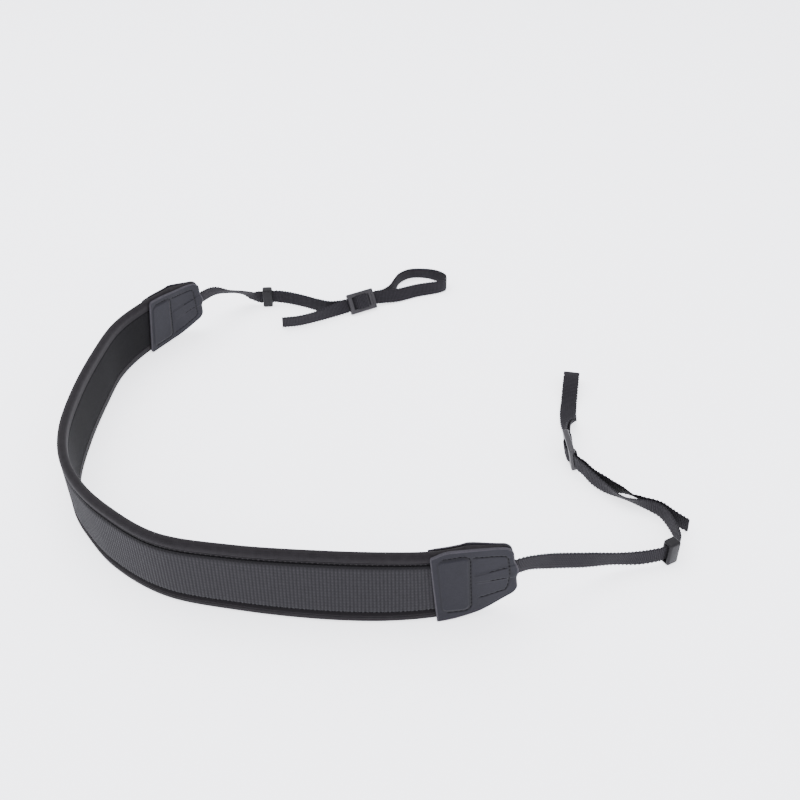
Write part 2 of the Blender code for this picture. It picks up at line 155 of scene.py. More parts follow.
routeRows = {
    "pad": [
        (78.3, -172.2, 6.8, 2, -80), (60.0, -175.6, 4.0, 1, -83), (38.0, -178.6, 0.8, 1, 92),
        (10.0, -179.8, 0.0, 4, 90), (-22.0, -178.4, 0.0, 4, 86), (-64.0, -173.4, 0.0, 1, 78),
        (-104.0, -164.1, 0.0, 1, -114), (-134.6, -143.6, 0.0, 0, 0),
        (-153.0, -124.3, 0.0, 2, -137), (-167.6, -102.0, 0.0, 1, -150), (-176.3, -75.0, 0.0, 0, 0),
        (-179.6, -36.0, 0.0, 1, 0), (-178.6, 4.0, 0.2, 3, -8), (-175.0, 37.0, 0.6, 6, -15),
        (-166.0, 60.5, 1.0, 9, -30), (-148.2, 85.8, 2.4, 12, -43), (-128.5, 101.8, 5.7, 12, -52),
    ],
    "rightLead": [
        (88.0, -166.2, 20.9, 5, -90), (102.0, -159.0, 14.8, 2, 95), (118.0, -153.5, 9.6, 2, 100),
        (136.0, -147.5, 4.5, 8, -80), (152.0, -144.0, 1.9, 0, 0),
    ],
    "rightBend": [
        (174.8, -133.0, 1.9, 0, 0), (175.7, -127.0, 1.2, 0, 0), (175.4, -119.5, 0.4, 0, 0),
        (173.9, -111.0, 0.0, 0, 0), (171.2, -104.9, 0.0, 6, -112), (166.9, -101.0, 0.0, 12, -112),
        (161.9, -98.1, 0.0, 24, -108), (157.5, -95.7, 0.0, 36, -106), (153.6, -93.2, 0.0, 44, -105),
        (149.4, -90.3, 0.0, 40, -106), (145.2, -86.9, 0.0, 26, -110), (141.0, -82.9, 0.2, 13, -118),
        (136.2, -77.0, 0.9, 4, -135), (131.6, -69.8, 1.9, 9, -170),
    ],
    "rightTwist": [
        (127.8, -30.0, 2.6, 8, 0), (129.6, -21.4, 1.6, 50, -8), (131.1, -12.4, 0.9, 82, -10),
        (132.2, -4.0, 0.75, 90, -11),
    ],
    "rightTail": [
        (133.2, -68.8, 2.2, 9, -170), (137.0, -74.8, 1.2, 3, -130), (142.2, -79.4, 0.8, 7, -118),
        (146.6, -82.8, 0.2, 13, -110), (150.8, -85.4, 0.0, 22, -107), (155.0, -87.4, 0.0, 38, -105),
        (159.4, -90.8, 0.0, 48, -105), (163.7, -96.0, 0.0, 28, -106), (168.2, -99.8, 0.0, 10, -112),
        (172.2, -103.1, 0.0, 2, -115), (175.5, -107.6, 0.0, 0, 0), (179.2, -112.0, 0.0, 3, -100),
        (184.2, -117.0, 0.0, 8, -100),
    ],
    "leftLead": [
        (-121.0, 114.8, 20.8, 28, -76), (-112.0, 124.2, 16.9, 52, -77),
        (-104.5, 132.6, 12.0, 53, -78), (-99.2, 137.2, 7.6, 44, -79), (-95.0, 139.2, 3.5, 22, -82),
    ],
    "leftBend": [
        (-70.0, 141.2, 0.6, 6, 95), (-58.0, 137.6, 0.0, 7, 110), (-45.5, 131.2, 0.0, 8, 115),
        (-33.0, 125.6, 0.7, 12, 118),
    ],
    "leftLoop": [
        (8.0, 144.4, 1.2, 33, 121), (13.2, 152.2, 0.4, 20, 140), (16.0, 163.2, 0.0, 6, 165),
        (19.8, 173.4, 0.0, 6, -90), (28.5, 181.0, 0.0, 13, -90), (41.5, 181.2, 0.0, 12, -90),
        (51.5, 176.5, 0.0, 0, 0), (56.6, 171.0, 0.0, 0, 0), (57.2, 168.0, 0.0, 0, 0),
        (57.2, 165.0, 0.0, 0, 0), (56.4, 162.0, 0.0, 0, 0), (51.0, 158.6, 0.0, 8, 118),
        (33.0, 153.2, 0.0, 24, 115), (17.3, 145.0, 0.6, 31, 118),
    ],
    "leftTail": [
        (-30.5, 120.8, 0.7, 10, 118), (-44.2, 112.8, 0.0, 8, -75), (-56.2, 106.9, 0.0, 11, -78),
        (-69.2, 104.3, 0.0, 13, -80),
    ],
}
# the right lug loop lies flat: run beyond the twist, and height above its lower run
flatLoop = {
    "heading": 79.0,
    "rows": [(5.0, 1.5), (14.0, 3.2), (24.0, 7.0), (32.0, 8.6), (38.0, 7.4), (40.4, 5.4),
             (40.4, 3.2), (38.2, 1.1), (33.0, 0.0), (20.0, 0.0), (5.0, 0.0)],
}
# middle of each fitting, compass angle of the webbing in it, side on which that crosses the bar,
# and how far the fitting leans to its left-hand side
seats = {
    "rightKeeper": (167.162, -138.49, 30.0, 1, 0.0),
    "leftKeeper": (-85.038, 139.91, 5.0, 1, 0.0),
    "rightBuckle": (124.762, -51.69, 93.0, -1, 12.0),
    "leftBuckle": (-10.938, 132.11, 31.0, 1, 34.0),
}

padSettings = {
    "width": 45.0, "thickness": 5.4,
    "least": 0.02,  # half thickness that is left under the panels' edges
    "rim": 2.7,  # radius of the rolled border
    "seamIn": 4.4,  # fine groove beside the tape, measured in from the edge
    "seamDepth": 0.35, "seamHalf": 0.55,
    "tapeDrop": 1.15,  # the tape falls this far from the seam to the panel
    "panelIn": 7.0,  # where the panel starts
    "innerDrop": (0.25, 0.4),  # the inner side drops from so far outside it, over so far
    "stitchIn": 5.9,  # the upper stitches run along the tape
    "lowerStitch": 0.5,  # and the lower ones this far up the panel
    "stitchFromEnd": 19.0,  # both start under the leaves, so far from the foam's end
    "threadLift": 0.12, "panelThread": 2.42,  # over the tape, and out from the route on the panel
    "pucker": 0.06, "puckerHalf": 1.5,  # the thread pulls the cloth down
    "step": 1.1,
}
leafSettings = {
    "length": 44.0, "thickness": 1.3, "padWidth": 46.2, "webbingWidth": 33.0,
    "corner": 4.5, "overlap": 20.0, "ramp": 20.0, "clearance": 0.3,
    "tongue": 1.5, "tongueHalf": 7.0, "tongueReach": 4.0,
    "pillowRound": 3.0, "pillowRise": 0.4, "pillowSlope": 1.1,
    "pillowShade": 0.55, "pillowShadeHalf": 0.7,  # painted shade at the raised panel's foot
    "webRise": 0.2, "webMargin": 1.1, "webSlope": 0.9,  # the webbing shows through the leather
    "webEnd": 0.6, "webFade": 1.5,
    "grooveDepth": 0.3, "grooveHalf": 0.6, "faintGroove": 0.5,
    "stitchAside": 0.9, "threadLift": 0.08,
    "edgeRoll": 0.28, "edgeRollIn": 0.7,  # worn, slightly rolled edge
    "cutEdge": 0.9,  # the cut edge's paler hide shows this far in
    "shiftFrom": 30.0, "shiftOver": 14.0,  # a pattern's endShift starts at this reach
    # the hidden leaf of a pair stays below the pad's rim, and hugs the rolled border
    "backHalf": 22.2, "backDrop": 1.2, "backDropFrom": 38.0, "backDropOver": 6.0,
    "hug": 0.75, "hugFrom": 21.0, "hugOver": 5.0,
}
webbingSettings = {
    "width": 11.0, "thickness": 1.1, "layerPitch": 1.5,
    "ribPitch": 1.15, "ribRise": 0.08, "warpPitch": 1.25,
    "scallopPitch": 2.3, "scallop": 0.3, "scallopFrom": 0.6,  # share of the half width
    "edgeThin": 0.6, "edgeFrom": 0.86,  # the selvedge is thinner
    "columns": (0.36, 0.72, 0.93, 0.985, 1),
    "step": 0.23,
}
keeperSettings = {
    "size": (7.5, 6.6, 15.2), "slot": (3.0, 12.0), "lead": 2.0, "round": 1.3, "innerRound": 0.22,
}
buckleSettings = {
    "size": (22.5, 3.7, 16.0), "slotHeight": 9.6, "slotLength": 5.0, "centreBar": 6.1,
    "barRecess": 1.5, "clearance": 0.3, "round": 1.0, "innerRound": 0.2,
    "ridgeGroove": (1.0, 1.1), "ridgePlace": 0.85,
    "lipReach": 1.5, "lipDepth": 0.75, "lipStart": 0.4,   # the loop side's bar reaches over the slot
    "weaveRadius": 2.0, "weaveAngle": 50.0, "weaveLead": 1.5,
}


def unit(vectors):
    return vectors / np.linalg.norm(vectors, axis=-1, keepdims=True)


def rowKnots(name, width, thickness):
    # middle of each section and the direction of its width
    found = []
    for x, y, rise, lean, toward in routeRows[name]:
        lean, toward = math.radians(lean), math.radians(toward)
        across = (math.sin(lean) * math.cos(toward), math.sin(lean) * math.sin(toward), math.cos(lean))
        height = rise + across[2] * width / 2 + math.sin(lean) * thickness / 2
        found.append((x - planCentre[0], y - planCentre[1], height, *across))
    return np.array(found)


def smoothCurve(points, fineness=24):
    # centripetal Catmull-Rom: it never swings past a close pair of knots
    p = np.vstack([2 * points[0] - points[1], points, 2 * points[-1] - points[-2]])
    gaps = np.sqrt(np.maximum(np.linalg.norm(np.diff(p[:, :3], axis=0), axis=1), 1e-6))
    t = np.concatenate([[0], np.cumsum(gaps)])
    curve = []
    for i in range(1, len(p) - 2):
        for u in np.linspace(t[i], t[i + 1], fineness, endpoint=False):
            def blend(low, high, first, last):
                return ((t[high] - u) * first + (u - t[low]) * last) / (t[high] - t[low])
            a = [blend(j, j + 1, p[j], p[j + 1]) for j in (i - 1, i, i + 1)]
            b = [blend(i - 1, i + 1, a[0], a[1]), blend(i, i + 2, a[1], a[2])]
            curve.append(blend(i, i + 1, b[0], b[1]))
    curve.append(p[-2])
    return np.array(curve)


class Route:
    # a smooth way through the knots, that flat pieces are laid along

    def __init__(self, points, width, thickness):
        curve = smoothCurve(points)
        self.centre = curve[:, :3]
        steps = np.linalg.norm(np.diff(self.centre, axis=0), axis=1)
        self.distance = np.concatenate([[0], np.cumsum(steps)])
        self.length = self.distance[-1]
        self.along = unit(np.gradient(self.centre, axis=0))
        across = curve[:, 3:]
        self.across = unit(across - np.sum(across * self.along, axis=1, keepdims=True) * self.along)
        self.out = np.cross(self.along, self.across)
        lowest = (self.centre[:, 2] - np.abs(self.across[:, 2]) * width / 2
                  - np.abs(self.out[:, 2]) * thickness / 2)
        self.centre[:, 2] -= np.minimum(lowest, 0.0)

    def lay(self, flat):
        # flat x goes along the route, y up its width and z out from it
        x = np.clip(flat[:, 0], 0, self.length)

        def read(table):
            return np.column_stack([np.interp(x, self.distance, table[:, k]) for k in range(3)])
        return (read(self.centre) + (flat[:, :1] - x[:, None]) * unit(read(self.along))
                + flat[:, 1:2] * unit(read(self.across)) + flat[:, 2:3] * unit(read(self.out)))

    def knot(self, distance):
        across = [np.interp(distance, self.distance, self.across[:, k]) for k in range(3)]
        return np.concatenate([self.lay(np.array([[distance, 0.0, 0.0]]))[0], across])


def seatHeight(lean, height, thickness):
    # the middle of a fitting that stands on its lower long edge
    tip = math.radians(lean)
    return height / 2 * math.cos(tip) + thickness / 2 * math.sin(tip)


def weaveKnots(seatName, layer):
    # behind the first end bar, over the middle bar and out behind the last
    x, y, heading, crossing, lean = seats[seatName]
    facts = buckleSettings
    angle = math.radians(facts["weaveAngle"])
    radius = facts["weaveRadius"]
    slot = (facts["centreBar"] + facts["slotLength"]) / 2
    depth = facts["size"][1] / 2 - facts["barRecess"] + facts["clearance"]
    depth += (webbingSettings["thickness"] + webbingSettings["layerPitch"]) / 2
    ramp = (2 * depth - 2 * radius * (1 - math.cos(angle))) / math.sin(angle)
    halfRun = radius * math.sin(angle) + ramp * math.cos(angle) / 2
    path = [(-facts["size"][0] / 2 - facts["weaveLead"], -depth, 0.0)]
    for bend in angle * np.linspace(0, 1, 5):
        path.append((-slot - halfRun + radius * math.sin(bend),
                     -depth + radius * (1 - math.cos(bend)), bend))
    for bend in angle * np.linspace(1, 0, 5):
        path.append((-slot + halfRun - radius * math.sin(bend),
                     depth - radius * (1 - math.cos(bend)), bend))
    path.append((0.0, depth, 0.0))
    path += [(-u, n, -bend) for u, n, bend in reversed(path[:-1])]
    heading, tip = math.radians(heading), math.radians(lean)
    along = np.array([math.cos(heading), math.sin(heading), 0.0])
    left = np.array([-along[1], along[0], 0.0])
    across = left * math.sin(tip) + np.array([0.0, 0.0, math.cos(tip)])
    out = np.cross(along, across)
    centre = np.array([x, y, seatHeight(lean, facts["size"][2], facts["size"][1])])
    found = []
    for u, n, bend in path:
        n, bend = n * crossing, bend * crossing
        u -= layer * webbingSettings["layerPitch"] / 2 * math.sin(bend)
        n += layer * webbingSettings["layerPitch"] / 2 * math.cos(bend)
        found.append(np.concatenate([centre + u * along + n * out, across]))
    return np.array(found)


def keeperKnots(seatName):
    x, y, heading = seats[seatName][:3]
    heading = math.radians(heading)
    inside = keeperSettings["size"][0] / 2
    outside = inside + keeperSettings["lead"]
    return np.array([(x + u * math.cos(heading), y + u * math.sin(heading),
                      keeperSettings["size"][2] / 2, 0.0, 0.0, 1.0)
                     for u in (-outside, -inside, inside, outside)])


def sewnKnots(padRoute, atFarEnd):
    facts = leafSettings
    reaches = np.linspace(facts["length"] - facts["overlap"] - facts["clearance"],
                          facts["thickness"] / 2, 4)
    return np.array([padRoute.knot(padRoute.length - reach if atFarEnd else reach)
                     for reach in reaches])


def flatLoopKnots():
    heading = math.radians(flatLoop["heading"])
    alongX, alongY = math.cos(heading), math.sin(heading)
    startX, startY = [routeRows["rightTwist"][-1][k] - planCentre[k] for k in (0, 1)]
    return np.array([(startX + run * alongX, startY + run * alongY,
                      lift + webbingSettings["thickness"] / 2, alongY, -alongX, 0.0)
                     for run, lift in flatLoop["rows"]])


def besideKnots(points, aside):
    route = Route(points, webbingSettings["width"], webbingSettings["thickness"])
    nearest = [route.distance[np.argmin(np.linalg.norm(route.centre - p[:3], axis=1))]
               for p in points]
    flat = np.array([(d, 0.0, aside) for d in nearest])
    return np.column_stack([route.lay(flat), points[:, 3:]])


def makeRoutes():
    web = (webbingSettings["width"], webbingSettings["thickness"])
    pad = Route(rowKnots("pad", padSettings["width"], padSettings["thickness"]),
                padSettings["width"], padSettings["thickness"])
    half = webbingSettings["layerPitch"] / 2
    twist = np.vstack([weaveKnots("rightBuckle", 0)[-2:], rowKnots("rightTwist", *web),
                       flatLoopKnots()[:1]])
    right = np.vstack([
        sewnKnots(pad, False), rowKnots("rightLead", *web), keeperKnots("rightKeeper"),
        rowKnots("rightBend", *web), weaveKnots("rightBuckle", -1),
        besideKnots(twist, -half)[2:-1], flatLoopKnots(), besideKnots(twist, half)[2:-1][::-1],
        weaveKnots("rightBuckle", 1)[::-1], rowKnots("rightTail", *web)])
    left = np.vstack([
        sewnKnots(pad, True), rowKnots("leftLead", *web), keeperKnots("leftKeeper"),
        rowKnots("leftBend", *web), weaveKnots("leftBuckle", -1), rowKnots("leftLoop", *web),
        weaveKnots("leftBuckle", 1)[::-1], rowKnots("leftTail", *web)])
    return {"pad": pad, "right": Route(right, *web), "left": Route(left, *web)}


routes = makeRoutes()
print("routes ready:", {name: round(float(route.length)) for name, route in routes.items()})


# ---- making flat pieces and laying them along a route

def readSpots(piece):
    spots = np.empty(len(piece.data.vertices) * 3)
    piece.data.vertices.foreach_get("co", spots)
    return spots.reshape(-1, 3)


def writeSpots(piece, spots):
    piece.data.vertices.foreach_set("co", np.ascontiguousarray(spots, dtype=np.float64).ravel())
    piece.data.update()


def ease(value):
    value = np.clip(value, 0.0, 1.0)
    return value * value * (3 - 2 * value)


def bump(distance, half):
    # 1 on the line, falling smoothly to 0 at half to either side
    return ease(1 - np.abs(distance) / half)


def flatStrip(name, stations, columns, thickness):
    # a flat grid with its lines at these stations and columns, given a wall
    bpy.ops.mesh.primitive_grid_add(x_subdivisions=len(stations) - 1,
                                    y_subdivisions=len(columns) - 1, size=2)
    piece = bpy.context.object
    piece.name = name
    spots = readSpots(piece)
    i = np.rint((spots[:, 0] + 1) / 2 * (len(stations) - 1)).astype(int)
    j = np.rint((spots[:, 1] + 1) / 2 * (len(columns) - 1)).astype(int)
    writeSpots(piece, np.column_stack([stations[i], columns[j], np.zeros(len(i))]))
    applyModifier(piece, "SOLIDIFY", {"thickness": thickness, "offset": 0, "material_offset_rim": 1})
    return piece


def finishPiece(piece, smoothAngle, slot, *nodes, materials):
    makeActive(piece)
    bpy.ops.object.shade_smooth_by_angle(angle=math.radians(smoothAngle))
    for each in materials:
        piece.data.materials.append(each)
    for polygon in piece.data.polygons:
        polygon.material_index = min(polygon.material_index, len(materials) - 1)
    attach(piece, "root")
    if nodes:
        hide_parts(*nodes)


def layAlong(piece, flat, route, smoothAngle, slot, *nodes, materials):
    # the flat place of each point is kept as an attribute for the patterns, in millimetres
    flat = flat.astype(np.float32)
    kept = piece.data.attributes.new("flatPlace", "FLOAT_VECTOR", "POINT")
    kept.data.foreach_set("vector", flat.ravel())
    writeSpots(piece, route.lay(flat.astype(float)) * 0.001)
    finishPiece(piece, smoothAngle, slot, *nodes, materials=materials)


def evenStations(start, end, step):
    return np.linspace(start, end, max(2, round((end - start) / step) + 1))


# ---- stitches: one is modelled and copied

stitchSettings = {"pitch": 2.7, "pad": (2.4, 0.26), "leaf": (1.7, 0.21)}  # length, half width


def makeStitchShape():
    bpy.ops.mesh.primitive_uv_sphere_add(segments=8, ring_count=6, radius=1.0,
                                         rotation=(0, math.radians(90), 0))
    shape = bpy.context.object
    bpy.ops.object.transform_apply(location=False, rotation=True, scale=False)
    spots = readSpots(shape)
    faces = [tuple(face.vertices) for face in shape.data.polygons]
    bpy.data.objects.remove(shape, do_unlink=True)
    return spots, faces


def evenAlong(corners, pitch):
    # places at an even pitch along a line through the corners, and its direction there
    corners = np.array(corners, dtype=float)
    steps = np.diff(corners, axis=0)
    lengths = np.linalg.norm(steps, axis=1)
    distance = np.concatenate([[0], np.cumsum(lengths)])
    count = max(1, int(distance[-1] // pitch))
    spots = (np.arange(count) + 0.5) * distance[-1] / count
    places = np.column_stack([np.interp(spots, distance, corners[:, k]) for k in (0, 1)])
    which = np.clip(np.searchsorted(distance, spots) - 1, 0, len(steps) - 1)
    return places, steps[which] / lengths[which][:, None]


def sewRows(name, lines, surface, kind):
    # surface gives the height that the thread lies at
    length, half = stitchSettings[kind]
    shape, faces = stitchShape
    spots, allFaces = [], []
    for corners in lines:
        places, directions = evenAlong(corners, stitchSettings["pitch"])
        heights = surface(places[:, 0], places[:, 1])
        for (x, y), (alongX, alongY), z in zip(places, directions, heights):
            u, v = shape[:, 0] * length / 2, shape[:, 1] * half
            allFaces += [tuple(k + len(spots) * len(shape) for k in face) for face in faces]
            spots.append(np.column_stack([x + u * alongX - v * alongY, y + u * alongY + v * alongX,
                                          z + shape[:, 2] * half]))
    spots = np.vstack(spots)
    mesh = bpy.data.meshes.new(name)
    mesh.from_pydata(spots.tolist(), [], allFaces)
    piece = bpy.data.objects.new(name, mesh)
    bpy.context.collection.objects.link(piece)
    layAlong(piece, spots, routes["pad"], 60, "webbing", materials=[thread])


stitchShape = makeStitchShape()


# ---- materials

def flatPlace(tree):
    # where the point was on the flat piece, in millimetres
    return addNode(tree, "Attribute", {"attribute_name": "flatPlace"}, "Vector")


def wave(tree, coordinate, pitch):
    # 0 in the grooves and 1 on the ribs of a pattern with this pitch in millimetres
    turned = addNode(tree, "Math", {"operation": "MULTIPLY", 0: coordinate, 1: 2 * math.pi / pitch})
    swing = addNode(tree, "Math", {"operation": "COSINE", 0: turned})
    return addNode(tree, "Math", {"operation": "MULTIPLY_ADD", 0: swing, 1: 0.5, 2: 0.5})


def addUp(tree, *parts):
    # the sum of some patterns, each times its share
    total = 0.0
    for pattern, share in parts:
        total = addNode(tree, "Math", {"operation": "MULTIPLY_ADD", 0: pattern, 1: share, 2: total})
    return total


def weaveShadeAndDye(tree, pitches, cloudScale, cloudDetail, shares):
    # ribs across the piece, threads along it and uneven dye: the pattern of its colour, with painted
    # shade between ribs and threads, its relief where ribs and threads both stand up, and the height
    # on the flat piece
    place = flatPlace(tree)
    x, y = [addNode(tree, "SeparateXYZ", {0: place}, axis) for axis in "XY"]
    ribs, threads = wave(tree, x, pitches[0]), wave(tree, y, pitches[1])
    relief = addNode(tree, "Math", {"operation": "MULTIPLY", 0: ribs, 1: threads})
    cloud = addNode(tree, "TexNoise",
                    {"Scale": cloudScale, "Detail": cloudDetail, "Vector": place}, "Fac")
    patterns = {"ribs": ribs, "threads": threads, "relief": relief, "cloud": cloud}
    return addUp(tree, *[(patterns[name], shares[name]) for name in shares]), relief, y


def finishSurface(made, pattern, low, high, relief=None, depth=0.0, strength=0.0):
    # the pattern runs between two colours, each a hex text or another node's output, and the
    # relief stands out by depth, in metres
    tree = made.node_tree
    shader = tree.nodes["Principled BSDF"]
    low, high = [linearColour(end) if isinstance(end, str) else end for end in (low, high)]
    colour = addNode(tree, "Mix", {"data_type": "RGBA", 0: pattern, 6: low, 7: high}, 2)
    tree.links.new(colour, shader.inputs["Base Color"])
    if relief is not None:
        raised = addNode(tree, "Bump", {"Distance": depth, "Strength": strength, "Height": relief})
        tree.links.new(raised, shader.inputs["Normal"])
    return made


def makeKnit(name, low, high, roughness, sheen, pitch, tapeEdge=None):
    # neoprene faced with fine jersey: matt, with a trace of sheen; inside the seam the knit is painted
    # darker, as painted shade of the tape's recess under the rolled border
    made, tree = newMaterial(name, {"Roughness": roughness, "Sheen Weight": sheen,
                                    "Sheen Roughness": 0.5, "Specular IOR Level": 0.08})
    # painted shade: the colour is darker between the raised loops
    knit, _, y = weaveShadeAndDye(tree, (pitch, pitch * 0.8), 0.35, 4.0, {"cloud": 0.75, "relief": 0.25})
    colour = knit
    # painted shade on the tape, inside the seam
    if tapeEdge:
        height = addNode(tree, "Math", {"operation": "ABSOLUTE", 0: y})
        shade = addNode(tree, "MapRange", {"From Min": tapeEdge - 0.3, "From Max": tapeEdge,
                                           "To Min": 0.35, "Value": height})
        colour = addNode(tree, "Math", {"operation": "MULTIPLY", 0: knit, 1: shade})
    return finishSurface(made, colour, low, high, knit, 0.00012, 0.6)


def makeRibbedNylon():
    # woven nylon with raised ribs across it and finer threads along it; the ribs are in the mesh,
    # and the colour is painted darker between them, as painted shade in their grooves
    made, tree = newMaterial("ribbedNylon", {"Roughness": 0.75, "Sheen Weight": 0.03,
                                             "Specular IOR Level": 0.1})
    weave, relief, y = weaveShadeAndDye(tree, (panelSettings["ribPitch"], panelSettings["threadPitch"]),
                                 0.5, 3.0, {"ribs": 0.5, "threads": 0.14, "cloud": 0.36})
    # painted shade: darker along the upper edge, beside the upper tape under the rolled border
    top = panelSettings["width"] / 2
    outOfPaintedShade = addNode(tree, "MapRange", {"From Min": top - 2.6, "From Max": top - 0.8,
                                       "To Min": 1.0, "To Max": 0.0, "Value": y})
    colour = addNode(tree, "Math", {"operation": "MULTIPLY", 0: weave, 1: outOfPaintedShade})
    return finishSurface(made, colour, "#121113", "#2b2a2d", relief, 0.0002, 0.6)


def makeLeather(name, low, high):
    # corrected-grain cowhide: fine pebbles, a soft satin and slightly paler high spots; it is
    # painted nearly black in its sewn grooves and at the raised panel's foot, as painted shade
    made, tree = newMaterial(name, {"Roughness": 0.6, "Specular IOR Level": 0.14})
    place = flatPlace(tree)
    grain = addNode(tree, "TexVoronoi", {"feature": "DISTANCE_TO_EDGE", "Scale": 1.25,
                                         "Vector": place}, "Distance")
    cloud = addNode(tree, "TexNoise", {"Scale": 0.3, "Detail": 5.0, "Vector": place}, "Fac")
    pebble = addNode(tree, "MapRange", {"From Max": 0.35, "Value": grain})
    hide = addNode(tree, "Mix", {"data_type": "RGBA", 0: addUp(tree, (cloud, 0.7), (pebble, 0.3)),
                                 6: linearColour(low), 7: linearColour(high)}, 2)
    # painted shade in the creases, read from the leaf's attribute
    paintedCreaseShade = addNode(tree, "Attribute", {"attribute_name": "paintedCreaseShade"}, "Fac")
    darker = addNode(tree, "Math", {"operation": "MULTIPLY", 0: paintedCreaseShade, 1: 0.9})
    return finishSurface(made, darker, hide, "#040405", pebble, 0.00006, 0.5)


def makeWebbing():
    # flat polyester webbing: weft ribs across it and fine warp threads along it, matt
    made, tree = newMaterial("polyesterWebbing", {"Roughness": 0.78, "Sheen Weight": 0.03,
                                                  "Specular IOR Level": 0.1})
    # painted shade: the colour is darker between the ribs and threads
    weave, relief, _ = weaveShadeAndDye(tree, (webbingSettings["ribPitch"], webbingSettings["warpPitch"]),
                                 0.4, 4.0, {"ribs": 0.62, "threads": 0.13, "cloud": 0.25})
    return finishSurface(made, weave, "#08080a", "#29272b", relief, 0.0002, 0.7)


def makeThread():
    # twisted polyester sewing thread, a little darker than what it sews
    made, tree = newMaterial("polyesterThread", {"Roughness": 0.8, "Specular IOR Level": 0.05})
    twist = addNode(tree, "TexNoise", {"Scale": 2.0, "Detail": 2.0, "Vector": flatPlace(tree)}, "Fac")
    return finishSurface(made, twist, "#050506", "#0e0d0f")


def makePlastic(name, low, high, ior, roughness, specular):
    # moulded acetal is satin and moulded nylon duller, both with the fine spark texture of their
    # tool, which is drawn coarse enough to show
    made, tree = newMaterial(name, {"Roughness": roughness, "IOR": ior,
                                    "Specular IOR Level": specular})
    place = addNode(tree, "TexCoord", {}, "Object")
    spark = addNode(tree, "TexNoise", {"Scale": 2600.0, "Detail": 2.0, "Vector": place}, "Fac")
    cloud = addNode(tree, "TexNoise", {"Scale": 160.0, "Detail": 3.0, "Vector": place}, "Fac")
    return finishSurface(made, cloud, low, high, spark, 0.00004, 0.5)


panelSettings = {
    "width": 31.0, "thickness": 1.0, "middle": 2.0,   # middle of its wall, out from the route
    "ribPitch": 1.9, "ribRise": 0.2, "ribFullness": 0.8, "threadPitch": 2.0, "samples": 7,
    "edgeIn": 0.8, "edgeDrop": 0.35, "columnsIn": (0, 0.25, 0.8),
}
liningSettings = {
    "step": 1.6, "swell": 0.2,
    "edgeIn": 0.7, "edgeDrop": 0.4, "columnsIn": (0, 0.12, 0.3, 0.55, 0.9, 1.4, 2.2),
}

borderKnit = makeKnit("jerseyFacedNeoprene", "#141214", "#252325", 0.85, 0.04, 0.9,
                      padSettings["width"] / 2 - padSettings["seamIn"])
liningKnit = makeKnit("brushedJersey", "#070708", "#100f11", 0.9, 0.01, 0.8)
ribbedNylon = makeRibbedNylon()
leather = makeLeather("cowhide", "#0d0d13", "#16151d")
leatherEdge = makeLeather("paintedHideEdge", "#242227", "#39373c")
webbingWeave = makeWebbing()
thread = makeThread()
bucklePlastic = makePlastic("mouldedAcetal", "#1d1b1e", "#2b292c", 1.48, 0.42, 0.35)
keeperPlastic = makePlastic("mouldedNylon", "#0f0e10", "#181719", 1.53, 0.5, 0.15)
print("materials ready")


# ---- the pad

def padRoll(y):
    # half thickness of the pad with its rolled border, before any seam
    facts = padSettings
    short = np.clip(facts["rim"] - (facts["width"] / 2 - np.abs(y)), 0, None) / facts["rim"]
    return facts["thickness"] / 2 * np.sqrt(np.clip(1 - short ** 2, 0, 1))


def padHalf(y):
    # the outer side: rolled border, seam, and tape falling to the panel
    facts = padSettings
    edge = facts["width"] / 2 - np.abs(y)
    tape = facts["tapeDrop"] * ease((edge - facts["seamIn"]) / (facts["panelIn"] - facts["seamIn"]))
    seam = facts["seamDepth"] * bump(edge - facts["seamIn"], facts["seamHalf"])
    return np.maximum(padRoll(y) - tape - seam, facts["least"])


def padInside(y):
    # the inner side is plain: it runs smoothly to the lining, and drops under it
    facts = padSettings
    edge = facts["width"] / 2 - np.abs(y)
    before, over = facts["innerDrop"]
    drop = facts["tapeDrop"] * ease((edge - facts["panelIn"] + before) / over)
    return np.maximum(padRoll(y) - drop, facts["least"])


def padStrip(name, step, width, columnsIn, between, thickness):
    # a strip as long as the foam, with columns this far in from both edges and some between
    start = leafSettings["length"] - leafSettings["overlap"]
    columnsIn, half = np.array(columnsIn), width / 2
    columns = np.concatenate([
        columnsIn - half, np.linspace(columnsIn[-1] - half, half - columnsIn[-1], between)[1:-1],
        (half - columnsIn)[::-1]])
    return flatStrip(name, evenStations(start, routes["pad"].length - start, step), columns, thickness)


def makePad():
    facts = padSettings
    half = facts["width"] / 2
    columnsIn = np.concatenate([
        facts["rim"] * (1 - np.cos(np.linspace(0, math.pi / 2, 8))),
        np.arange(facts["rim"] + 0.2, facts["panelIn"] + 0.4, 0.2)])
    piece = padStrip("neckPadFoam", facts["step"], facts["width"], columnsIn, 10, 1.0)
    spots = readSpots(piece)
    outer = spots[:, 2] < 0
    # shallow puckers where the thread pulls the cloth down
    pull = bump(half - np.abs(spots[:, 1]) - facts["stitchIn"], facts["puckerHalf"])
    pull = pull * facts["pucker"] * np.cos(2 * math.pi * spots[:, 0] / stitchSettings["pitch"])
    spots[:, 2] = np.where(outer, -padHalf(spots[:, 1]) - pull, padInside(spots[:, 1]))
    layAlong(piece, spots, routes["pad"], 50, "foam", "neck_pad", materials=[borderKnit])


def sewPad():
    # the upper row runs along the tape, and the lower one along the panel's edge
    facts = padSettings
    half = facts["width"] / 2
    first = leafSettings["length"] - leafSettings["overlap"] + facts["stitchFromEnd"]
    rows = [[(first, height), (routes["pad"].length - first, height)]
            for height in (half - facts["stitchIn"], facts["panelIn"] + facts["lowerStitch"] - half)]

    def surface(x, y):
        return -np.where(y > 0, padHalf(y) + facts["threadLift"], facts["panelThread"])
    sewRows("outerPadStitches", rows, surface, "pad")


